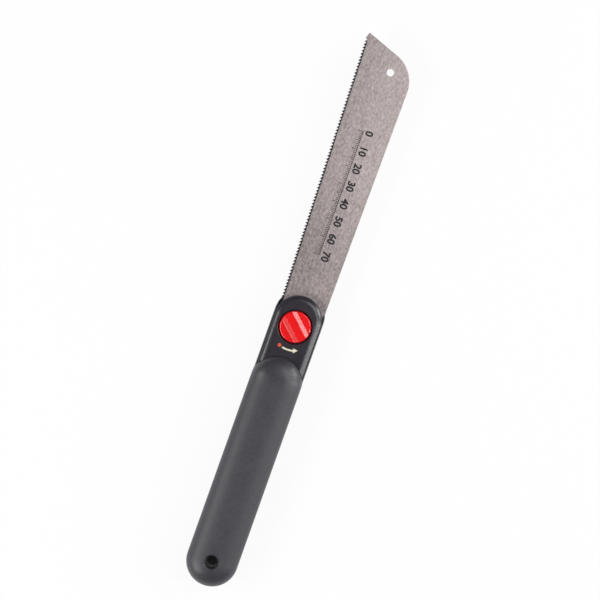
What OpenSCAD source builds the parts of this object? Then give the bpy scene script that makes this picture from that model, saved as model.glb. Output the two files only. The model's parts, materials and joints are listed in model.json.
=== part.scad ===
// Flush cut saw: a thin pull blade clamped into a straight handle by a red lock knob.
// Millimetres. The origin is the middle of the hanging hole, in the blade's middle plane.
// Y runs along the saw to the toe, X to the blade's back edge, Z out of the front face.

/* [Grip] */
// Width of the grip across the saw
grip_w = 28; // [26:0.5:32]
// Thickness of the grip, front to back
grip_t = 21; // [18:0.5:25]
// Squareness of the grip's section: 2 is an ellipse, more is boxier
grip_power = 2.5; // [2.1:0.1:3.5]
// From the middle of the hanging hole to the end of the butt
butt_margin = 13.7; // [9:0.1:15]
// Diameter of the hanging hole
hang_hole_d = 7; // [5:0.5:8]
// Width of the bevel round the hanging hole
hang_bevel = 0.8; // [0.2:0.1:1.2]
// From the hanging hole to the axis of the lock knob
hole_to_knob = 133.4; // [110:0.2:160]
// Thickness of the rubber on the core
sleeve_wall = 2.5; // [1.5:0.25:3]
// Thickness of the rubber that lines the hanging hole
lining_wall = 1.5; // [1:0.25:2]

/* [Head] */
// Thickness of the head, back face to front face
head_t = 11; // [10.5:0.5:13]
// How far each side of the head stands in from the grip
head_inset = 0.25; // [0.15:0.05:0.6]
// Thickness of the rails beside the tang
rail_wall = 0.75; // [0.6:0.05:1.5]
// Height of the rails above the blade's middle plane
rail_h = 3; // [1.5:0.1:3.3]
// From the knob's axis to the front of the clamp cover
nose_reach = 17.2; // [16:0.2:24]
// How far the rear jaw's round front stands ahead of the clamp cover's
jaw_lead = 2; // [0:0.1:4]
// From the knob's axis back to the crease where the grip's dome rises
crease_back = 17.3; // [15.5:0.1:22]
// Radius of the head's long edges, front and back
edge_r = 4.5; // [3:0.1:5]

/* [Blade] */
// Thickness of the blade
blade_t = 0.5; // [0.3:0.05:0.8]
// From the knob's axis to the tip of the toe
blade_reach = 162.5; // [130:0.5:220]
// How far the tooth side spreads outward from heel to toe
flare_teeth = 4; // [2:0.1:6]
// How far the back edge spreads outward from heel to toe
flare_back = 1.6; // [0:0.1:3]
// From the rails' front ends to the heel, where the teeth start
heel_gap = 0.3; // [0.2:0.1:5]
// How far the tooth line stands in from the tang's side at the heel
heel_step = 0.3; // [0:0.1:0.4]
// Slant of the toe
toe_slant = 20.5; // [10:0.5:30]
// Radius between the toe and the back edge
toe_r = 18; // [8:0.5:20]
// Length of the plain corner at the toe, along the saw
toe_land = 3.8; // [2:0.2:8]
// How far the tip of the toe stands in from the tooth line
toe_tuck = 1; // [0.5:0.1:2]
// Diameter of the hole near the toe
toe_hole_d = 4; // [2:0.1:5]
// From the tip of the toe back to that hole, along the saw
toe_hole_back = 16.7; // [12:0.1:30]
// From the handle's middle line to that hole, across the saw
toe_hole_side = 2.3; // [-4:0.1:4]
// Size of the bevels that lead the tang in between the rails
tang_bevel = 2; // [0.5:0.25:4]

/* [Teeth] */
// Distance from tooth to tooth
tooth_pitch = 1.8; // [1.4:0.1:3]
// Height of a tooth
tooth_h = 1.2; // [0.8:0.1:2]
// Where the tip of a tooth stands along its pitch, counted from the handle's side
tip_share = 0.15; // [0.1:0.05:0.35]
// Where the short top bevel ends along the pitch
bevel_share = 0.4; // [0.4:0.05:0.6]
// How high the short top bevel ends, of the tooth's height
bevel_rise_share = 0.7; // [0.6:0.05:0.8]
// Slant at which the gullets are ground, left and right in turn
fleam = 20; // [0:1:30]

/* [Knob] */
// Diameter of the knob
knob_d = 17.2; // [15.5:0.2:19]
// Gap between the knob and its recess
knob_gap = 0.7; // [0.3:0.1:1]
// Depth of the recess under the head's front face
recess_depth = 3.2; // [3:0.1:3.5]
// Width of the bevel round the recess
recess_bevel = 0.4; // [0.2:0.1:0.6]
// How far the knob's disc lies under the head's front face
knob_sink = 0.3; // [0:0.1:0.6]
// Radius of the knob's rim
rim_r = 1; // [0.2:0.1:1.2]
// How far the ends of the grip bar stand in from the knob's side
bar_inset = 0.5; // [0.2:0.1:1.5]
// Width of the grip bar's flat top
bar_w = 4.4; // [3:0.2:6]
// Height of the grip bar over the disc
bar_h = 1.7; // [1.5:0.1:3]
// Run of each slanted flank of the grip bar
bar_flank = 2.2; // [1:0.1:3]
// Radius of the grip bar's top edges
bar_edge_r = 0.3; // [0.2:0.1:0.6]
// Radius of the hollow where each flank meets the disc
bar_root_r = 1; // [0.5:0.1:1.2]
// Direction of the grip bar when the clamp is tight
bar_turn = -43; // [-90:1:90]

/* [Fasteners] */
// Thread diameter of the stud
stud_d = 5; // [4:0.5:5]
// Width across the flats of the stud's head
stud_af = 8; // [7:0.5:8]
// Height of the stud's head
stud_head_h = 1.1; // [0.8:0.1:1.2]
// How far the stud's end lies inside the back face
stud_sink = 0.3; // [0.1:0.1:0.8]
// Width across the flats of the nut
nut_af = 8; // [7:0.5:9]
// Thickness of the nut
nut_t = 2.7; // [2:0.1:3]
// How far the nut lies inside the back face
nut_sink = 0.6; // [0.2:0.1:1]
// Diameter of the thrust washer
thrust_d = 13.5; // [11:0.5:14]
// Thickness of the thrust washer
thrust_t = 0.6; // [0.4:0.1:0.8]
// Diameter of the spring washer
spring_d = 9.2; // [8:0.2:10]
// Thickness of the spring washer
spring_t = 0.9; // [0.6:0.1:1]
// Width of the spring washer's split
split_w = 0.8; // [0.5:0.1:1.2]
// Slant of the spring washer's split
split_slant = 25; // [10:5:40]
// Diameter of the retaining clip
clip_d = 8.4; // [7.5:0.1:9]
// Thickness of the retaining clip
clip_t = 0.6; // [0.4:0.1:0.7]
// Depth of the clip's groove in the stud
groove_depth = 0.6; // [0.4:0.1:0.8]
// Width of the notches between the clip's three lugs
clip_notch = 1.6; // [1:0.1:1.8]

/* [Fits] */
// Gap between the clamp cover and each rail
cover_gap = 0.2; // [0.1:0.05:0.5]
// Gap between the tang and each rail, and the tang and its stop
tang_gap = 0.2; // [0.1:0.05:0.3]
// Gap between the clamp cover and the grip's dome
dome_gap = 0.2; // [0.1:0.05:0.4]
// Gap round a turning or sliding piece of the clamp
free_gap = 0.25; // [0.15:0.05:0.3]
// Radial gap of the stud in its nut
thread_gap = 0.05; // [0.02:0.01:0.1]
// Gap between the tang's ledge and the clamp cover
ledge_gap = 0.05; // [0.02:0.01:0.1]

/* [Hidden] */
$fn = 96;
// Facets of the grip's section
section_n = 72;
// Facets of an edge's quarter round
edge_n = 8;
// How far a cut runs past the face that it opens
over = 1;
hex_n = 6;

grip_a = grip_w / 2;
grip_b = grip_t / 2;
face_z = head_t / 2;
plate_z = blade_t / 2;
ledge_z = plate_z - ledge_gap;
head_a = grip_a - head_inset;
rail_a = head_a - rail_wall;
cover_a = rail_a - cover_gap;
tang_a = rail_a - tang_gap;

// Half width of the grip's section at the level of the head's faces
crease_r = grip_a * pow(1 - pow(face_z / grip_b, grip_power), 1 / grip_power);
knob_y = hole_to_knob;
butt_y = grip_a - butt_margin;
dome_y = knob_y - crease_back - crease_r;
nose_y = knob_y + nose_reach - cover_a;
jaw_y = nose_y + jaw_lead;
jaw_end = jaw_y + head_a + over;
core_a = grip_a - sleeve_wall;
core_b = grip_b - sleeve_wall;
stop_y = dome_y + grip_a + dome_gap;
tang_y = stop_y + tang_gap;

recess_z = face_z - recess_depth;
thrust_z = recess_z + thrust_t;
spring_z = thrust_z + spring_t;
disc_z = face_z - knob_sink;
recess_r = knob_d / 2 + knob_gap;
knob_r = knob_d / 2;
stud_r = stud_d / 2;
stud_hole_r = stud_r + free_gap;
stud_end = -face_z + stud_sink;
clip_z = plate_z + free_gap;
clip_top = clip_z + clip_t;
clip_room = clip_top + free_gap;
groove_r = stud_r - groove_depth;
nut_top = -face_z + nut_sink + nut_t;

// Front ends of the rails, where the round front crosses their inner faces
rail_y = jaw_y + sqrt(head_a * head_a - rail_a * rail_a);
heel_y = rail_y + heel_gap;
toe_y = knob_y + blade_reach;
land_y = toe_y - toe_land;
tooth_n = floor((land_y - heel_y) / tooth_pitch);
first_y = land_y - tooth_n * tooth_pitch;
start_y = max(heel_y, first_y - tooth_pitch * (1 - tip_share));
// Metal left outside the tooth tips until the gullets are ground
blank_edge = tooth_h / 4;
tip_x = tooth_line(land_y) + toe_tuck;
back_x = tang_a + flare_back;
corner_y = toe_y - (back_x - tip_x) * tan(toe_slant);
toe_turn = 90 - toe_slant;
toe_reach = toe_r * tan(toe_turn / 2);

// One point of a superellipse, at angle t
function oval_point(a, b, t) =
    [a * sign(cos(t)) * pow(abs(cos(t)), 2 / grip_power),
     b * sign(sin(t)) * pow(abs(sin(t)), 2 / grip_power)];

// Whole section of the grip
module oval(a, b) {
    polygon([for (i = [0 : section_n - 1]) oval_point(a, b, 360 * i / section_n)]);
}

// Right half of what is drawn, to be turned about the axis
module right_half() {
    intersection() {
        children();
        translate([0, -grip_t]) square([grip_w, grip_t * 2]);
    }
}

// A section swept along the saw from one station to the next
module along(y0, y1) {
    translate([0, y1, 0]) rotate([90, 0, 0]) linear_extrude(height = y1 - y0) children();
}

// A section turned through the half circle that closes a front end
module round_front(y) {
    translate([0, y, 0]) rotate_extrude(angle = 180) right_half() children();
}

// Straight bar with both ends round, in the grip's section
module grip_bar(a, b) {
    along(butt_y, dome_y) oval(a, b);
    round_front(dome_y) oval(a, b);
    mirror([0, 1, 0]) round_front(-butt_y) oval(a, b);
}

// Points of an arc about a middle, from one angle through a turn
function arc(x, y, r, from, turn) =
    let (n = ceil(edge_n * abs(turn) / 90))
    [for (i = [0 : n]) [x + r * cos(from + turn * i / n), y + r * sin(from + turn * i / n)]];

// Rounded outline of the whole head, which the rear jaw's rails and the clamp cover share
module head_outline() {
    side = head_a - edge_r;
    top = face_z - edge_r;
    polygon(concat(
        arc(side, top, edge_r, 0, 90),
        arc(-side, top, edge_r, 90, 90),
        arc(-side, -top, edge_r, 180, 90),
        arc(side, -top, edge_r, 270, 90)));
}

// Section of the rear jaw with its rails, before the tang's pocket is cut
module head_section() {
    intersection() {
        oval(grip_a - head_inset / 2, grip_b);
        head_outline();
        translate([-grip_a, -grip_b]) square([grip_w, grip_b + rail_h]);
    }
}

// Section of the clamp cover
module cover_section() {
    intersection() {
        head_outline();
        translate([-cover_a, plate_z]) square([cover_a * 2, head_t]);
    }
}

// Box by its two corners
module block(from, to) {
    translate(from) cube(to - from);
}

// Cylinder between two heights on the knob's axis
module post(r, z0, z1) {
    translate([0, knob_y, z0]) cylinder(h = z1 - z0, r = r);
}

// Hexagonal prism between two heights on the knob's axis
module hex_post(af, z0, z1) {
    translate([0, knob_y, z0]) cylinder(h = z1 - z0, r = af / 2 / cos(180 / hex_n), $fn = hex_n);
}

// Rear jaw: the round-nosed plate with rails that carries the tang
module rear_jaw() {
    difference() {
        union() {
            along(dome_y - sleeve_wall, jaw_y) head_section();
            round_front(jaw_y) head_section();
        }
        block([-rail_a, butt_y, ledge_z], [rail_a, jaw_end, rail_h + over]);
        block([-rail_a, stop_y, -plate_z], [rail_a, jaw_end, rail_h + over]);
    }
}

// Hard core: rear jaw and the bar inside the sleeve
module handle_core() {
    color([0.05, 0.05, 0.055]) difference() {
        union() {
            rear_jaw();
            grip_bar(core_a, core_b);
        }
        translate([0, 0, -grip_t]) cylinder(h = grip_t * 2, r = hang_hole_d / 2 + lining_wall);
        post(stud_hole_r, -head_t, rail_h + over);
        hex_post(nut_af + thread_gap * 2, -head_t, nut_top);
    }
}

// Rubber sleeve moulded over the core, lining the hanging hole
module grip_sleeve() {
    color([0.09, 0.09, 0.095]) difference() {
        grip_bar(grip_a, grip_b);
        handle_core();
        translate([0, 0, -grip_t]) cylinder(h = grip_t * 2, r = hang_hole_d / 2);
        for (side = [0, 1])
            mirror([0, 0, side])
                translate([0, 0, grip_b - hang_bevel])
                    cylinder(h = hang_bevel, r1 = hang_hole_d / 2, r2 = hang_hole_d / 2 + hang_bevel);
    }
}

// Front jaw: lies on the tang between the rails and ends against the grip's dome
module clamp_cover() {
    color([0.05, 0.05, 0.055]) difference() {
        union() {
            along(dome_y, nose_y) cover_section();
            round_front(nose_y) cover_section();
        }
        translate([0, dome_y, 0]) rotate_extrude() right_half() oval(grip_a + dome_gap, grip_b + dome_gap);
        post(recess_r, recess_z, face_z + over);
        translate([0, knob_y, face_z - recess_bevel])
            cylinder(h = recess_bevel + over, r1 = recess_r, r2 = recess_r + recess_bevel + over);
        post(stud_hole_r, 0, face_z);
        post(clip_d / 2 + free_gap, 0, clip_room);
    }
}

// Section of the knob's grip bar, rooted in the disc
module bar_section() {
    lean = atan2(bar_h, bar_flank);
    root_a = bar_w / 2 + bar_flank + bar_root_r * tan(lean / 2);
    top_a = bar_w / 2 - bar_edge_r * tan(lean / 2);
    right = concat(
        [[root_a, disc_z - rim_r]],
        arc(root_a, disc_z + bar_root_r, bar_root_r, 270, -lean),
        arc(top_a, disc_z + bar_h - bar_edge_r, bar_edge_r, 90 - lean, lean));
    polygon(concat(right, [for (i = [len(right) - 1 : -1 : 0]) [-right[i][0], right[i][1]]]));
}

// Red knob with its raised bar, moulded round the stud's head
module lock_knob() {
    color([0.8, 0.02, 0.04]) difference() {
        translate([0, knob_y, 0]) union() {
            rotate_extrude() polygon(concat(
                [[0, recess_z + free_gap], [knob_r, recess_z + free_gap]],
                arc(knob_r - rim_r, disc_z - rim_r, rim_r, 0, 90),
                [[0, disc_z]]));
            intersection() {
                rotate([0, 0, bar_turn]) rotate([90, 0, 90])
                    linear_extrude(height = knob_d, center = true) bar_section();
                translate([0, 0, recess_z]) cylinder(h = head_t, r = knob_r - bar_inset);
            }
        }
        post(thrust_d / 2 + free_gap, 0, spring_z);
        hex_post(stud_af, 0, spring_z + stud_head_h);
    }
}

// Stud with its hex head and the clip's groove
module knob_stud() {
    color([0.6, 0.6, 0.62]) {
        hex_post(stud_af, spring_z, spring_z + stud_head_h);
        difference() {
            post(stud_r, stud_end, spring_z);
            difference() {
                post(stud_d, clip_z, clip_top);
                post(groove_r, clip_z - over, clip_top + over);
            }
        }
    }
}

// Ring between two heights on the knob's axis
module ring(outer_r, inner_r, z0, z1) {
    difference() {
        post(outer_r, z0, z1);
        post(inner_r, z0 - over, z1 + over);
    }
}

// Flat washer on the floor of the recess
module thrust_washer() {
    color([0.7, 0.7, 0.72]) ring(thrust_d / 2, stud_hole_r, recess_z, thrust_z);
}

// Split washer, drawn flat as it is when the clamp is tight
module spring_washer() {
    color([0.45, 0.45, 0.47]) difference() {
        ring(spring_d / 2, stud_hole_r, thrust_z, spring_z);
        translate([0, knob_y, thrust_z + spring_t / 2]) rotate([split_slant, 0, 0])
            translate([0, -split_w / 2, -spring_d]) cube([spring_d, split_w, spring_d * 2]);
    }
}

// Clip with three lugs, open on one side, that snaps into the stud's groove
module retaining_clip() {
    color([0.3, 0.3, 0.32]) difference() {
        ring(clip_d / 2, groove_r, clip_z, clip_top);
        block([0, knob_y - groove_r, clip_z - over], [clip_d, knob_y + groove_r, clip_top + over]);
        for (turn = [120, 240])
            translate([0, knob_y, clip_z - over]) rotate([0, 0, turn])
                translate([stud_r, -clip_notch / 2, 0]) cube([clip_d, clip_notch, clip_t + over * 2]);
    }
}

// Thin nut in its pocket at the back of the head
module clamp_nut() {
    color([0.65, 0.65, 0.66]) difference() {
        hex_post(nut_af, nut_top - nut_t, nut_top);
        post(stud_r + thread_gap, -head_t, 0);
    }
}

// Where the line of tooth tips stands at a station along the saw
function tooth_line(y) = heel_step - tang_a - flare_teeth * (y - heel_y) / (land_y - heel_y);

// What one pass of the grinding wheel takes out between two tips, up to a line outside them
module gullet_shape() {
    polygon([
        [tooth_h, 0], [0, tooth_pitch * tip_share], [-over, tooth_pitch * tip_share * (1 + over / tooth_h)],
        [-over, tooth_pitch * (tip_share - 1)], [0, tooth_pitch * (tip_share - 1)],
        [tooth_h * (1 - bevel_rise_share), tooth_pitch * (bevel_share - 1)]]);
}

// Every second gullet in its place, ground across the plate at a slant
module gullets(start, slant) {
    for (i = [start : 2 : tooth_n]) {
        y = first_y + i * tooth_pitch;
        translate([tooth_line(y), y, 0]) rotate([slant, 0, 0])
            linear_extrude(height = blade_t * 4, center = true) gullet_shape();
    }
}

// Outline of the blade before the teeth are ground
module blade_outline() {
    difference() {
        polygon(concat(
            [[tang_a, tang_y + tang_bevel], [tang_a - tang_bevel, tang_y],
             [-tang_a + tang_bevel, tang_y], [-tang_a, tang_y + tang_bevel],
             [-tang_a, start_y], [-tang_a - blank_edge, start_y],
             [tooth_line(land_y) - blank_edge, land_y],
             [tooth_line(land_y), land_y + tooth_pitch * tip_share], [tip_x, toe_y]],
            [for (i = [0 : edge_n * 2]) let (turn = toe_turn * (1 - i / edge_n / 2))
                [back_x - toe_r + toe_r * cos(turn), corner_y - toe_reach + toe_r * sin(turn)]],
            [[tang_a, heel_y]]));
        translate([toe_hole_side, toe_y - toe_hole_back]) circle(d = toe_hole_d);
        translate([0, knob_y]) circle(r = stud_hole_r);
        translate([-stud_hole_r, tang_y - over]) square([stud_hole_r * 2, knob_y - tang_y + over]);
    }
}

// Blade, flat on both sides with no set, its gullets ground left and right in turn
module saw_blade() {
    color([0.68, 0.65, 0.64]) difference() {
        difference() {
            translate([0, 0, -plate_z]) linear_extrude(height = blade_t) blade_outline();
            gullets(0, fleam);
        }
        gullets(1, -fleam);
    }
}

handle_core();
grip_sleeve();
clamp_cover();
lock_knob();
knob_stud();
thrust_washer();
spring_washer();
retaining_clip();
clamp_nut();
saw_blade();
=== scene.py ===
import json
import math

import bmesh
import bpy
from mathutils import Matrix, Vector


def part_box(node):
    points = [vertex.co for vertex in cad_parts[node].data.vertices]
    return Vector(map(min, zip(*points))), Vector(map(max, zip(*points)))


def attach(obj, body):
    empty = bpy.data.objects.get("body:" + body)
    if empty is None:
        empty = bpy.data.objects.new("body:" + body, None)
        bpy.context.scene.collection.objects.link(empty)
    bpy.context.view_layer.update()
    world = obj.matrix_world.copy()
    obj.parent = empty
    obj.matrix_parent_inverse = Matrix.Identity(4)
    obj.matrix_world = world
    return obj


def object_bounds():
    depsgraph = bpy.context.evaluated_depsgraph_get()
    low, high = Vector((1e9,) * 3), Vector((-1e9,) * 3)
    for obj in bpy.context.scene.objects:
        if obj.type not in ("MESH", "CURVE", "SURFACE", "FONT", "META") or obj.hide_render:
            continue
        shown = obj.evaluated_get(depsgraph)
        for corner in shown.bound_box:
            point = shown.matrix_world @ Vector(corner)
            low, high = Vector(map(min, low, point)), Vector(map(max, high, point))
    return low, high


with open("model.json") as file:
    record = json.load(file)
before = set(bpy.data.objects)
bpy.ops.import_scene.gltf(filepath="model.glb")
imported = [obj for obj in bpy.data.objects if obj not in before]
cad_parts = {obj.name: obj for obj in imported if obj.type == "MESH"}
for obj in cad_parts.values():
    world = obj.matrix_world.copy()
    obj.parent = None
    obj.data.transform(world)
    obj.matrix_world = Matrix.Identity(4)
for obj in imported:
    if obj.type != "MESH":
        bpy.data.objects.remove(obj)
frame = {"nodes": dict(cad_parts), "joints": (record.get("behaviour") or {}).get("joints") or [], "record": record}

cad_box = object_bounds()

bl_info = {
    "name": "Flush cut saw",
    "version": (1, 0, 0),
    "blender": (4, 5, 0),
    "location": "View3D > Sidebar > Saw",
    "description": "Finishes, prints and a studio stage for the packed flush cut saw",
    "category": "Object",
}

MM = 0.001
WHITE = (1.0, 1.0, 1.0, 1.0)
KNOB_AXIS = Vector(next(j for j in frame["joints"] if j["name"] == "knob_turn")["pos_m"])
HANG_HOLE = next(m for m in frame["record"]["mounts"] if m["name"] == "hang_hole")
# From the knob's axis back to where the grip's dome starts
DOME_BACK = 30.0 * MM
# Each soft box: its turn from the picture's right and its tilt from straight up, in degrees, then
# its width and height in metres
SOFT_BOXES = {
    "left": (192, 52, 1.05, 0.45),
    "right": (-17, 61, 0.15, 1.6),
    "top": (30, 30, 0.5, 0.5),
    "far": (17, 67, 0.48, 0.5),
    "near": (215, 76, 0.4, 0.3),
}


class Value:
    """A shader socket that takes part in Python expressions."""

    def __init__(self, graph, socket):
        self.graph = graph
        self.socket = socket

    def maths(self, operation, first, second=0.0):
        return self.graph.node("ShaderNodeMath", {"operation": operation}, {0: first, 1: second})

    def __add__(self, other):
        return self.maths("ADD", self, other)

    def __radd__(self, other):
        return self.maths("ADD", other, self)

    def __sub__(self, other):
        return self.maths("SUBTRACT", self, other)

    def __rsub__(self, other):
        return self.maths("SUBTRACT", other, self)

    def __mul__(self, other):
        return self.maths("MULTIPLY", self, other)

    def __rmul__(self, other):
        return self.maths("MULTIPLY", other, self)

    def __abs__(self):
        return self.maths("ABSOLUTE", self)


class Graph:
    """A node tree as it is written."""

    def __init__(self, tree):
        self.tree = tree
        self.tree.nodes.clear()

    def node(self, kind, settings, inputs, output=0):
        """Adds a node: its settings first, then the values or links of its sockets."""
        made = self.tree.nodes.new(kind)
        for name, value in settings.items():
            setattr(made, name, value)
        for name, value in inputs.items():
            if isinstance(value, Value):
                self.tree.links.new(value.socket, made.inputs[name])
            else:
                made.inputs[name].default_value = value
        return Value(self, made.outputs[output]) if made.outputs else None


class Finish(Graph):
    """The node tree of one material."""

    def __init__(self, name):
        self.material = bpy.data.materials.new(name)
        self.material.use_nodes = True
        super().__init__(self.material.node_tree)

    def place(self, stretch=(1.0, 1.0, 1.0)):
        """The point on the piece in millimetres, stretched along each axis."""
        here = self.node("ShaderNodeTexCoord", {}, {}, "Object")
        return self.times(here, tuple(s / MM for s in stretch))

    def times(self, place, factors):
        """A point multiplied along each axis."""
        inputs = {0: place, 1: factors}
        return self.node("ShaderNodeVectorMath", {"operation": "MULTIPLY"}, inputs)

    def axis(self, place, name):
        """One coordinate of a point."""
        return self.node("ShaderNodeSeparateXYZ", {}, {0: place}, name)

    def from_hole(self, place):
        """The distance of a point from the hanging hole's axis, which is the frame's Z axis."""
        flat = self.times(place, (1.0, 1.0, 0.0))
        return self.node("ShaderNodeVectorMath", {"operation": "LENGTH"}, {0: flat}, "Value")

    def noise(self, place, scale, detail):
        """Noise from 0 to 1, whose scale is counted in the point's own unit."""
        inputs = {"Vector": place, "Scale": scale, "Detail": detail}
        return self.node("ShaderNodeTexNoise", {}, inputs, "Fac")

    def step(self, value, low, high):
        """0 below low, 1 above high, smooth between them."""
        inputs = {"Value": value, "From Min": low, "From Max": high}
        return self.node("ShaderNodeMapRange", {"interpolation_type": "SMOOTHSTEP"}, inputs)

    def mix(self, share, first, second):
        """A colour between two colours."""
        inputs = {0: share, 6: first, 7: second}
        return self.node("ShaderNodeMix", {"data_type": "RGBA"}, inputs, 2)

    def ray(self, kind):
        """1 where the surface is reached by that kind of ray."""
        return self.node("ShaderNodeLightPath", {}, {}, kind)

    def relief(self, height):
        """A normal from a height in millimetres."""
        return self.node("ShaderNodeBump", {}, {"Strength": 1.0, "Distance": MM, "Height": height})

    def surface(self, inputs):
        """Ends the tree in a Principled shader and gives the material."""
        shader = self.node("ShaderNodeBsdfPrincipled", {}, inputs)
        self.node("ShaderNodeOutputMaterial", {}, {"Surface": shader})
        return self.material


def shade(colour, factor):
    """A lighter or darker form of a colour, with its alpha."""
    return tuple(min(1.0, c * factor) for c in colour[:3]) + (1.0,)


def even_shading():
    """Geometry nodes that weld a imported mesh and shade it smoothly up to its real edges."""
    weld_gap = 0.001 * MM
    real_bend = math.radians(30)
    tree = bpy.data.node_groups.new("even_shading", "GeometryNodeTree")
    for way in ("INPUT", "OUTPUT"):
        tree.interface.new_socket("Geometry", in_out=way, socket_type="NodeSocketGeometry")
    graph = Graph(tree)
    packed = graph.node("NodeGroupInput", {}, {})
    welded = graph.node("GeometryNodeMergeByDistance", {},
                        {"Geometry": packed, "Distance": weld_gap})
    plain = graph.node("GeometryNodeRemoveAttribute", {},
                       {"Geometry": welded, "Name": "custom_normal"})
    smooth = graph.node("GeometryNodeSetShadeSmooth", {"domain": "FACE"},
                        {"Geometry": plain, "Shade Smooth": True})
    bend = graph.node("GeometryNodeInputMeshEdgeAngle", {}, {}, "Unsigned Angle")
    real = graph.node("FunctionNodeCompare", {"operation": "GREATER_THAN"},
                      {0: bend, 1: real_bend})
    edged = graph.node("GeometryNodeSetShadeSmooth", {"domain": "EDGE"},
                       {"Geometry": smooth, "Selection": real, "Shade Smooth": False})
    graph.node("NodeGroupOutput", {}, {0: edged})
    return tree


def dress(name, material):
    """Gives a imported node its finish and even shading."""
    node = frame["nodes"][name]
    node.data.materials.clear()
    node.data.materials.append(material)
    shading = node.modifiers.new("even_shading", "NODES")
    shading.node_group = bpy.data.node_groups.get("even_shading") or even_shading()
    node.modifiers.new("even_normals", "WEIGHTED_NORMAL").keep_sharp = True


def print_piece(name, mesh, body, slot, *materials):
    """A printed piece that rides on a body."""
    piece = bpy.data.objects.new(name, mesh)
    bpy.context.scene.collection.objects.link(piece)
    for material in materials:
        mesh.materials.append(material)
    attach(piece, body)


def add_outline(shape, points, height, ink=0):
    """A flat face through points in metres, at a height."""
    face = shape.faces.new([shape.verts.new((x, y, height)) for x, y in points])
    face.normal_update()
    if face.normal.z < 0:
        face.normal_flip()
    face.material_index = ink


def add_bar(shape, left, right, near, far, height):
    """A flat bar between two places across the saw and two along it, in metres."""
    add_outline(shape, [(left, near), (right, near), (right, far), (left, far)], height)


def finished_mesh(shape, name):
    """Turns a shape into a mesh and frees it."""
    mesh = bpy.data.meshes.new(name)
    shape.to_mesh(mesh)
    shape.free()
    return mesh


def number_faces(shape, text, size, weight, place):
    """Adds the filled outline of a number, set by a matrix."""
    curve = bpy.data.curves.new("number", "FONT")
    curve.body = text
    curve.size = size
    curve.offset = weight
    curve.align_x = "CENTER"
    curve.align_y = "BOTTOM"
    curve.fill_mode = "FRONT"
    curve.resolution_u = 6
    holder = bpy.data.objects.new("number", curve)
    bpy.context.scene.collection.objects.link(holder)
    bpy.context.view_layer.update()
    seen = holder.evaluated_get(bpy.context.evaluated_depsgraph_get())
    mesh = bpy.data.meshes.new_from_object(seen)
    mesh.transform(place)
    shape.from_mesh(mesh)
    bpy.data.objects.remove(holder)
    bpy.data.curves.remove(curve)
    bpy.data.meshes.remove(mesh)


def rubber_finish(colour, dome_start, bore_radius):
    """Mottled rubber, smoother on dome and butt, with painted shade making the hanging hole dark."""
    # Where each change over the surface starts and ends, in millimetres
    dome_run = dome_start - 6.0, dome_start + 2.0
    butt_run = -8.0, 0.0
    bore_shade_run = bore_radius, bore_radius + 0.4
    seam_run = 0.06, 0.2
    graph = Finish("grip_rubber")
    here = graph.place()
    along = graph.axis(here, "Y")
    grain = graph.noise(here, scale=4.0, detail=3.0)
    cloud = graph.noise(here, scale=0.12, detail=3.0)
    mottle = graph.noise(here, scale=0.7, detail=4.0)
    seam = 1.0 - graph.step(abs(graph.axis(here, "Z")), *seam_run)
    smooth = graph.step(along, *dome_run) + 0.7 - graph.step(along, *butt_run) * 0.7
    # Painted shade: the rubber is made nearly black inside the hanging hole and on part of its bevel, where shade
    # falls
    painted_bore_shade = 1.0 - graph.step(graph.from_hole(here), *bore_shade_run)
    tone = grain * 0.3 + cloud * 0.4 + mottle * 0.9 - 0.3
    skin = graph.mix(tone, shade(colour, 0.6), shade(colour, 1.42))
    matte = 0.39 + grain * 0.1 + cloud * 0.08 + mottle * 0.14
    return graph.surface({
        # The hole's painted shade darkens the base colour
        "Base Color": graph.mix(painted_bore_shade, skin, shade(colour, 0.03)),
        "Roughness": matte - smooth * 0.17 + painted_bore_shade * 0.4,
        "IOR": 1.45,
        "Specular IOR Level": 0.78,
        "Normal": graph.relief(grain * 0.035 + cloud * 0.02 + seam * 0.05),
    })


def satin_plastic_finish(name, colour, roughness):
    """Fine-grained hard plastic with faint rubbed streaks along the saw."""
    graph = Finish(name)
    here = graph.place()
    grain = graph.noise(here, scale=6.0, detail=2.0)
    cloud = graph.noise(here, scale=0.2, detail=3.0)
    streak = graph.noise(graph.place((1.6, 0.09, 1.0)), scale=1.4, detail=3.0)
    rub = graph.step(streak, 0.62, 0.78)
    return graph.surface({
        "Base Color": graph.mix(cloud, shade(colour, 0.85), shade(colour, 1.2)),
        "Roughness": roughness - 0.05 + cloud * 0.1 + rub * 0.08,
        "IOR": 1.52,
        "Specular IOR Level": 0.7,
        "Normal": graph.relief(grain * 0.006),
    })


def knob_finish(colour):
    """Gloss plastic with a little moulding ripple and a few dull spots."""
    graph = Finish("knob_plastic")
    here = graph.place()
    cloud = graph.noise(here, scale=0.35, detail=2.0)
    ripple = graph.noise(here, scale=1.6, detail=2.0)
    dull = graph.step(graph.noise(here, scale=2.4, detail=4.0), 0.55, 0.75)
    return graph.surface({
        "Base Color": graph.mix(cloud, shade(colour, 0.9), shade(colour, 1.06)),
        "Roughness": 0.18 + dull * 0.04,
        "IOR": 1.5,
        "Specular IOR Level": 0.6,
        "Normal": graph.relief(ripple * 0.004),
    })


def plated_finish(colour):
    """Zinc plating with a faint spangle."""
    graph = Finish("plated_steel")
    here = graph.place()
    cloud = graph.noise(here, scale=0.5, detail=3.0)
    spangle = graph.noise(here, scale=3.5, detail=4.0)
    return graph.surface({
        "Base Color": graph.mix(cloud, shade(colour, 0.88), shade(colour, 1.08)),
        "Metallic": 1.0,
        "Roughness": 0.22 + spangle * 0.2,
        "Normal": graph.relief(spangle * 0.01),
    })


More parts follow.
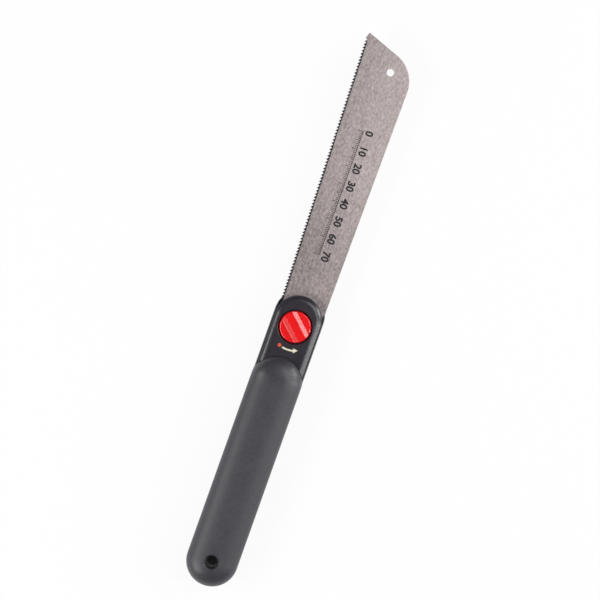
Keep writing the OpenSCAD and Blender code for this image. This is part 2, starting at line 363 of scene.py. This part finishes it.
def blade_finish(colour, teeth_colour, heel_tip, toe_tip, toe_top):
    """Lengthwise brushed steel with dark hardened teeth along the line between two tips, and painted shade that
    darkens it towards the teeth and towards the heel.
    """
    # Where each change over the surface starts and ends, in millimetres
    heel = heel_tip.y / MM
    land = toe_top / MM - 5.0
    land_run = land - 0.5, land + 0.5
    hardened_run = 1.7, 2.3
    shade_across_run = 2.0, 24.0
    shade_along_run = heel - 5.0, heel + 60.0
    slope = (toe_tip.x - heel_tip.x) / (toe_tip.y - heel_tip.y)
    graph = Finish("blade_steel")
    here = graph.place()
    along = graph.axis(here, "Y")
    inward = graph.axis(here, "X") - (along * slope + (heel_tip.x - heel_tip.y * slope) / MM)
    hair = graph.noise(graph.place((1.0, 0.03, 1.0)), scale=3.2, detail=3.0)
    band = graph.noise(graph.place((1.0, 0.02, 1.0)), scale=0.35, detail=2.0)
    fleck = graph.noise(graph.place((1.0, 0.55, 1.0)), scale=1.1, detail=5.0)
    toothed = 1.0 - graph.step(along, *land_run)
    blued = (1.0 - graph.step(inward + fleck * 0.4, *hardened_run)) * toothed
    # Painted shade, not wear: the steel gets darker towards the tooth line and towards the heel by the head
    painted_shading = graph.step(inward, *shade_across_run) * 0.16 + graph.step(along, *shade_along_run) * 0.2
    tone = hair * 0.5 + band * 0.2 + fleck * 1.1 + painted_shading - 0.64
    steel = graph.mix(tone, shade(colour, 0.45), shade(colour, 1.55))
    return graph.surface({
        "Base Color": graph.mix(blued, steel, shade(teeth_colour, 1.0)),
        "Metallic": 1.0,
        "Roughness": 0.5 + hair * 0.1 + fleck * 0.06,
        "Normal": graph.relief(hair * 0.006 + fleck * 0.003),
    })


def ink_finish(name, colour):
    """Printing ink with fine pale specks."""
    graph = Finish(name)
    speck = graph.noise(graph.place(), scale=5.0, detail=3.0)
    pale = graph.step(speck, 0.4, 0.75)
    return graph.surface({
        "Base Color": graph.mix(pale, shade(colour, 0.9), shade(colour, 1.5)),
        "Roughness": 0.42 + speck * 0.2,
        "IOR": 1.45,
        "Normal": graph.relief(speck * 0.004),
    })


class SawFinishes(bpy.types.PropertyGroup):
    """Colours of the saw's pieces."""

    grip: bpy.props.FloatVectorProperty(
        name="Grip", description="Colour of the rubber grip",
        default=(0.043, 0.041, 0.0505), min=0.0, max=1.0, subtype="COLOR")
    head: bpy.props.FloatVectorProperty(
        name="Head", description="Colour of the hard plastic of head and cover",
        default=(0.0277, 0.0252, 0.0321), min=0.0, max=1.0, subtype="COLOR")
    knob: bpy.props.FloatVectorProperty(
        name="Knob", description="Colour of the lock knob",
        default=(0.88, 0.012, 0.0148), min=0.0, max=1.0, subtype="COLOR")
    blade: bpy.props.FloatVectorProperty(
        name="Blade", description="Colour of the blade's steel",
        default=(0.54, 0.474, 0.467), min=0.0, max=1.0, subtype="COLOR")
    teeth: bpy.props.FloatVectorProperty(
        name="Teeth", description="Colour of the hardened teeth",
        default=(0.05, 0.048, 0.055), min=0.0, max=1.0, subtype="COLOR")
    plating: bpy.props.FloatVectorProperty(
        name="Plating", description="Colour of the plated stud, nut, washers and clip",
        default=(0.7, 0.7, 0.72), min=0.0, max=1.0, subtype="COLOR")
    ink: bpy.props.FloatVectorProperty(
        name="Ink", description="Colour of the scale printed on the blade",
        default=(0.016, 0.015, 0.016), min=0.0, max=1.0, subtype="COLOR")
    mark_light: bpy.props.FloatVectorProperty(
        name="Arrow", description="Colour of the turning arrow on the cover",
        default=(0.8, 0.71, 0.54), min=0.0, max=1.0, subtype="COLOR")
    mark_red: bpy.props.FloatVectorProperty(
        name="Dot", description="Colour of the release dot on the cover",
        default=(0.67, 0.08, 0.04), min=0.0, max=1.0, subtype="COLOR")


class SawPrints(bpy.types.PropertyGroup):
    """Sizes of the prints on blade and cover."""

    scale_start: bpy.props.FloatProperty(
        name="Scale start", description="Distance from the hanging hole to the scale's zero",
        default=0.2444, min=0.2, max=0.26, unit="LENGTH")
    scale_length: bpy.props.IntProperty(
        name="Scale length", description="Length of the scale in millimetres, in whole tens",
        default=70, min=20, max=80, step=10)
    scale_side: bpy.props.FloatProperty(
        name="Scale side", description="Distance of the scale's line from the saw's middle",
        default=-0.001, min=-0.008, max=0.006, unit="LENGTH")
    number_height: bpy.props.FloatProperty(
        name="Number height", description="Height of the scale's numbers",
        default=0.0042, min=0.002, max=0.006, unit="LENGTH")
    number_weight: bpy.props.FloatProperty(
        name="Number weight", description="How far the outlines of the numbers are thickened",
        default=0.00018, min=0.0, max=0.0004, unit="LENGTH")
    line_width: bpy.props.FloatProperty(
        name="Line width", description="Width of the scale's lines",
        default=0.0003, min=0.0001, max=0.0006, unit="LENGTH")
    ink_height: bpy.props.FloatProperty(
        name="Ink height", description="Height of the ink over the surface under it",
        default=0.00003, min=0.00001, max=0.0001, unit="LENGTH")
    arrow_radius: bpy.props.FloatProperty(
        name="Arrow radius", description="Radius of the turning arrow round the knob",
        default=0.0128, min=0.0115, max=0.014, unit="LENGTH")


class SawStage(bpy.types.PropertyGroup):
    """Camera and lamps."""

    camera_height: bpy.props.FloatProperty(
        name="Camera height", description="Height of the camera over the blade",
        default=1.7912, min=0.3, max=3.0, unit="LENGTH")
    camera_roll: bpy.props.FloatProperty(
        name="Camera roll", description="Turn of the picture about the view's axis",
        default=math.radians(19.6), min=-math.pi, max=math.pi, subtype="ANGLE")
    middle_x: bpy.props.FloatProperty(
        name="Middle across",
        description="Point of the saw in the picture's middle, across the saw",
        default=-0.0025, min=-0.1, max=0.1, unit="LENGTH")
    middle_y: bpy.props.FloatProperty(
        name="Middle along",
        description="Point of the saw in the picture's middle, along the saw",
        default=0.1479, min=0.0, max=0.3, unit="LENGTH")
    lens: bpy.props.FloatProperty(
        name="Lens", description="Focal length of the camera, in millimetres",
        default=200.0, min=20.0, max=300.0)
    lamp_reach: bpy.props.FloatProperty(
        name="Lamp distance", description="Distance of the soft boxes from the saw",
        default=1.2, min=0.6, max=3.0, unit="LENGTH")
    left_power: bpy.props.FloatProperty(
        name="Left box", description="Power of the wide soft box on the left",
        default=11.9, min=0.0, max=50.0, unit="POWER")
    right_power: bpy.props.FloatProperty(
        name="Right box", description="Power of the long strip on the right",
        default=7.1, min=0.0, max=50.0, unit="POWER")
    top_power: bpy.props.FloatProperty(
        name="Top box", description="Power of the high soft box up on the right",
        default=2.75, min=0.0, max=50.0, unit="POWER")
    far_power: bpy.props.FloatProperty(
        name="Far box",
        description="Power of the low soft box on the right, a little towards the toe",
        default=6.2, min=0.0, max=50.0, unit="POWER")
    near_power: bpy.props.FloatProperty(
        name="Near box", description="Power of the low soft box on the near left",
        default=0.42, min=0.0, max=50.0, unit="POWER")
    fill: bpy.props.FloatProperty(
        name="Fill", description="Strength of the even light all round",
        default=0.04, min=0.0, max=1.0)
    paper_glow: bpy.props.FloatProperty(
        name="Paper glow", description="Share of plain white in the paper as it is seen",
        default=0.92, min=0.0, max=1.0, subtype="FACTOR")


class SAW_OT_finish_grip(bpy.types.Operator):
    """Gives the sleeve its matte rubber"""

    bl_idname = "saw.finish_grip"
    bl_label = "Grip"

    def execute(self, context):
        colour = context.scene.saw_finishes.grip
        dome_start = (KNOB_AXIS.y - DOME_BACK) / MM
        dress("grip_sleeve", rubber_finish(colour, dome_start, HANG_HOLE["dims"]["r_mm"]))
        return {"FINISHED"}


class SAW_OT_finish_head(bpy.types.Operator):
    """Gives the core and the clamp cover their satin plastic"""

    bl_idname = "saw.finish_head"
    bl_label = "Head and cover"

    def execute(self, context):
        colour = context.scene.saw_finishes.head
        dress("handle_core", satin_plastic_finish("core_plastic", colour, roughness=0.31))
        dress("clamp_cover", satin_plastic_finish("cover_plastic", colour, roughness=0.29))
        return {"FINISHED"}


class SAW_OT_finish_knob(bpy.types.Operator):
    """Gives the lock knob its gloss plastic"""

    bl_idname = "saw.finish_knob"
    bl_label = "Lock knob"

    def execute(self, context):
        dress("lock_knob", knob_finish(context.scene.saw_finishes.knob))
        return {"FINISHED"}


class SAW_OT_finish_hardware(bpy.types.Operator):
    """Gives the stud, nut, washers and clip their plating"""

    bl_idname = "saw.finish_hardware"
    bl_label = "Plated parts"

    def execute(self, context):
        plated = plated_finish(context.scene.saw_finishes.plating)
        for name in ("knob_stud", "clamp_nut", "thrust_washer", "spring_washer", "retaining_clip"):
            dress(name, plated)
        return {"FINISHED"}


class SAW_OT_finish_blade(bpy.types.Operator):
    """Gives the blade its brushed steel and hardened teeth"""

    bl_idname = "saw.finish_blade"
    bl_label = "Blade"

    def execute(self, context):
        colours = context.scene.saw_finishes
        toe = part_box("saw_blade")[1].y
        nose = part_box("clamp_cover")[1].y
        # The outermost tips are looked for near each end of the bare blade
        span = (toe - nose) / 8
        points = [v.co for v in frame["nodes"]["saw_blade"].data.vertices]
        heel_tip = min((p for p in points if nose < p.y < nose + span), key=lambda p: p.x)
        toe_tip = min((p for p in points if p.y > toe - span), key=lambda p: p.x)
        finish = blade_finish(colours.blade, colours.teeth, heel_tip, toe_tip, toe)
        dress("saw_blade", finish)
        return {"FINISHED"}


class SAW_OT_print_scale(bpy.types.Operator):
    """Prints a plain millimetre scale on the blade"""

    bl_idname = "saw.print_scale"
    bl_label = "Blade scale"

    # Font size for each metre of a number's height
    font_per_height = 1.35

    def execute(self, context):
        sizes = context.scene.saw_prints
        ink = ink_finish("scale_ink", context.scene.saw_finishes.ink)
        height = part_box("saw_blade")[1].z + sizes.ink_height
        line = sizes.line_width
        half = line / 2
        side = sizes.scale_side
        start = sizes.scale_start
        end = start - sizes.scale_length * MM
        tick_lengths = {10: 3.0 * MM, 5: 2.2 * MM, 1: 1.4 * MM}
        font_size = sizes.number_height * self.font_per_height
        sideways = Matrix.Rotation(-math.pi / 2, 4, "Z")
        shape = bmesh.new()
        add_bar(shape, side, side + line, end - half, start + half, height)
        for step in range(sizes.scale_length + 1):
            tick = next(length for every, length in tick_lengths.items() if step % every == 0)
            y = start - step * MM
            add_bar(shape, side - tick, side, y - half, y + half, height)
        for step in range(0, sizes.scale_length + 1, 10):
            place = Matrix.Translation((side + 2 * line, start - step * MM, height)) @ sideways
            number_faces(shape, str(step), font_size, sizes.number_weight, place)
        mesh = finished_mesh(shape, "blade_scale")
        print_piece("blade_scale", mesh, "blade", "blade_steel", ink)
        return {"FINISHED"}


class SAW_OT_print_mark(bpy.types.Operator):
    """Prints the turning arrow and the release dot on the clamp cover"""

    bl_idname = "saw.print_mark"
    bl_label = "Turning mark"

    def execute(self, context):
        sizes = context.scene.saw_prints
        colours = context.scene.saw_finishes
        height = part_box("clamp_cover")[1].z + sizes.ink_height
        middle = sizes.arrow_radius
        half = 0.45 * MM
        barb = 3 * half
        dot_radius = 1.0 * MM
        dot_points = 24
        # Degrees round the knob from the side of the grip
        tail, neck, tip, dot_turn = -14, 14, 25, -22
        bends = range(tail, neck + 1, 2)

        shape = bmesh.new()
        for a, b in zip(bends, bends[1:]):
            add_outline(shape, [self.spot(middle - half, a), self.spot(middle + half, a),
                                self.spot(middle + half, b), self.spot(middle - half, b)], height)
        add_outline(shape, [self.spot(middle - barb, neck), self.spot(middle + barb, neck),
                            self.spot(middle, tip)], height)
        dot = Vector(self.spot(middle, dot_turn))
        angles = (2 * math.pi * i / dot_points for i in range(dot_points))
        add_outline(shape, [(dot.x + dot_radius * math.cos(a), dot.y + dot_radius * math.sin(a))
                            for a in angles], height, 1)
        mesh = finished_mesh(shape, "turning_mark")
        arrow_ink = ink_finish("arrow_ink", colours.mark_light)
        dot_ink = ink_finish("dot_ink", colours.mark_red)
        print_piece("turning_mark", mesh, "clamp", "cover_plastic", arrow_ink, dot_ink)
        return {"FINISHED"}

    def spot(self, radius, turn):
        """A point round the knob's axis, its turn counted from the side of the grip."""
        turn = math.radians(turn)
        return KNOB_AXIS.x + radius * math.sin(turn), KNOB_AXIS.y - radius * math.cos(turn)


class SAW_OT_build_stage(bpy.types.Operator):
    """Makes the paper floor, the lamps, the even light and the camera"""

    bl_idname = "saw.build_stage"
    bl_label = "Stage"

    def execute(self, context):
        scene = context.scene
        stage = scene.saw_stage
        middle = Vector((stage.middle_x, stage.middle_y, 0.0))
        right = Vector((math.cos(stage.camera_roll), math.sin(stage.camera_roll), 0.0))
        ahead = Vector((-right.y, right.x, 0.0))
        up = Vector((0.0, 0.0, 1.0))

        floor = bpy.data.objects.new("paper_floor", self.floor_mesh())
        floor.location = (middle.x, middle.y, cad_box[0].z)
        scene.collection.objects.link(floor)
        floor.data.materials.append(self.paper_finish(stage.paper_glow))

        for side, (turn, tilt, width, height) in SOFT_BOXES.items():
            turn, tilt = math.radians(turn), math.radians(tilt)
            level = right * math.cos(turn) + ahead * math.sin(turn)
            place = middle + (level * math.sin(tilt) + up * math.cos(tilt)) * stage.lamp_reach
            power = getattr(stage, f"{side}_power")
            self.lamp(f"{side}_box", place, middle, width, height, power)
        self.even_light(stage.fill)

        lens = bpy.data.cameras.new("camera")
        lens.lens = stage.lens
        lens.sensor_width = 36.0
        camera = bpy.data.objects.new("camera", lens)
        camera.location = middle + up * stage.camera_height
        camera.rotation_euler = (0.0, 0.0, stage.camera_roll)
        scene.collection.objects.link(camera)
        scene.camera = camera
        scene.view_settings.view_transform = "Standard"
        return {"FINISHED"}

    def floor_mesh(self):
        """A flat round floor in rings that double in size, so that its edge lies far away."""
        turns = 64
        rings = 8
        inner_radius = 0.3
        angles = [2 * math.pi * i / turns for i in range(turns)]
        shape = bmesh.new()
        loops = []
        for ring in range(rings):
            radius = inner_radius * 2 ** ring
            loops.append([shape.verts.new((radius * math.cos(a), radius * math.sin(a), 0.0))
                          for a in angles])
        shape.faces.new(loops[0])
        for inner, outer in zip(loops, loops[1:]):
            for i in range(turns):
                j = (i + 1) % turns
                shape.faces.new((inner[i], outer[i], outer[j], inner[j]))
        return finished_mesh(shape, "paper_floor")

    def paper_finish(self, glow):
        """White paper that looks brighter than it lights and is clear from below.

        The camera sees it unbrightened under the hanging hole, so that the bore looks dark.
        """
        spot_run = 8.0 * MM, 11.0 * MM
        graph = Finish("floor_paper")
        here = graph.node("ShaderNodeNewGeometry", {}, {}, "Position")
        speck = graph.noise(here, scale=400.0, detail=2.0)
        paper = graph.node("ShaderNodeBsdfPrincipled", {}, {
            "Base Color": graph.mix(speck, shade(WHITE, 0.9), shade(WHITE, 0.93)),
            "Roughness": 1.0,
            "Specular IOR Level": 0.0,
        })
        white = graph.node("ShaderNodeEmission", {}, {"Color": WHITE, "Strength": 1.0})
        straight = graph.ray("Is Camera Ray") * graph.step(graph.from_hole(here), *spot_run)
        share = (straight + graph.ray("Is Glossy Ray") + graph.ray("Is Transmission Ray")) * glow
        lit = graph.node("ShaderNodeMixShader", {}, {0: share, 1: paper, 2: white})
        below = graph.node("ShaderNodeNewGeometry", {}, {}, "Backfacing")
        clear = graph.node("ShaderNodeBsdfTransparent", {}, {})
        shown = graph.node("ShaderNodeMixShader", {}, {0: below, 1: lit, 2: clear})
        graph.node("ShaderNodeOutputMaterial", {}, {"Surface": shown})
        return graph.material

    def lamp(self, name, place, target, width, height, power):
        """A soft box that faces a target."""
        lamp = bpy.data.lights.new(name, "AREA")
        lamp.shape = "RECTANGLE"
        lamp.size = width
        lamp.size_y = height
        lamp.energy = power
        made = bpy.data.objects.new(name, lamp)
        made.location = place
        made.rotation_euler = (target - place).to_track_quat("-Z", "Y").to_euler()
        made.visible_camera = False
        bpy.context.scene.collection.objects.link(made)

    def even_light(self, strength):
        """A dim white world that fills the shadows."""
        world = bpy.data.worlds.new("studio")
        world.use_nodes = True
        graph = Graph(world.node_tree)
        sky = graph.node("ShaderNodeBackground", {}, {"Color": WHITE, "Strength": strength})
        graph.node("ShaderNodeOutputWorld", {}, {"Surface": sky})
        bpy.context.scene.world = world


OPERATORS = (
    SAW_OT_finish_grip,
    SAW_OT_finish_head,
    SAW_OT_finish_knob,
    SAW_OT_finish_hardware,
    SAW_OT_finish_blade,
    SAW_OT_print_scale,
    SAW_OT_print_mark,
    SAW_OT_build_stage,
)


class SAW_PT_saw(bpy.types.Panel):
    """Pieces of the saw"""

    bl_idname = "SAW_PT_saw"
    bl_label = "Flush cut saw"
    bl_space_type = "VIEW_3D"
    bl_region_type = "UI"
    bl_category = "Saw"

    def draw(self, context):
        for operator in OPERATORS:
            self.layout.operator(operator.bl_idname)
        scene = context.scene
        for group in (scene.saw_finishes, scene.saw_prints, scene.saw_stage):
            box = self.layout.box()
            for name in group.__annotations__:
                box.prop(group, name)


CLASSES = (SawFinishes, SawPrints, SawStage) + OPERATORS + (SAW_PT_saw,)


def register():
    for cls in CLASSES:
        bpy.utils.register_class(cls)
    bpy.types.Scene.saw_finishes = bpy.props.PointerProperty(type=SawFinishes)
    bpy.types.Scene.saw_prints = bpy.props.PointerProperty(type=SawPrints)
    bpy.types.Scene.saw_stage = bpy.props.PointerProperty(type=SawStage)


def unregister():
    del bpy.types.Scene.saw_stage
    del bpy.types.Scene.saw_prints
    del bpy.types.Scene.saw_finishes
    for cls in reversed(CLASSES):
        bpy.utils.unregister_class(cls)


def main():
    register()
    bpy.ops.saw.finish_grip()
    bpy.ops.saw.finish_head()
    bpy.ops.saw.finish_knob()
    bpy.ops.saw.finish_hardware()
    bpy.ops.saw.finish_blade()
    bpy.ops.saw.print_scale()
    bpy.ops.saw.print_mark()
    bpy.ops.saw.build_stage()


if __name__ == "__main__":
    main()
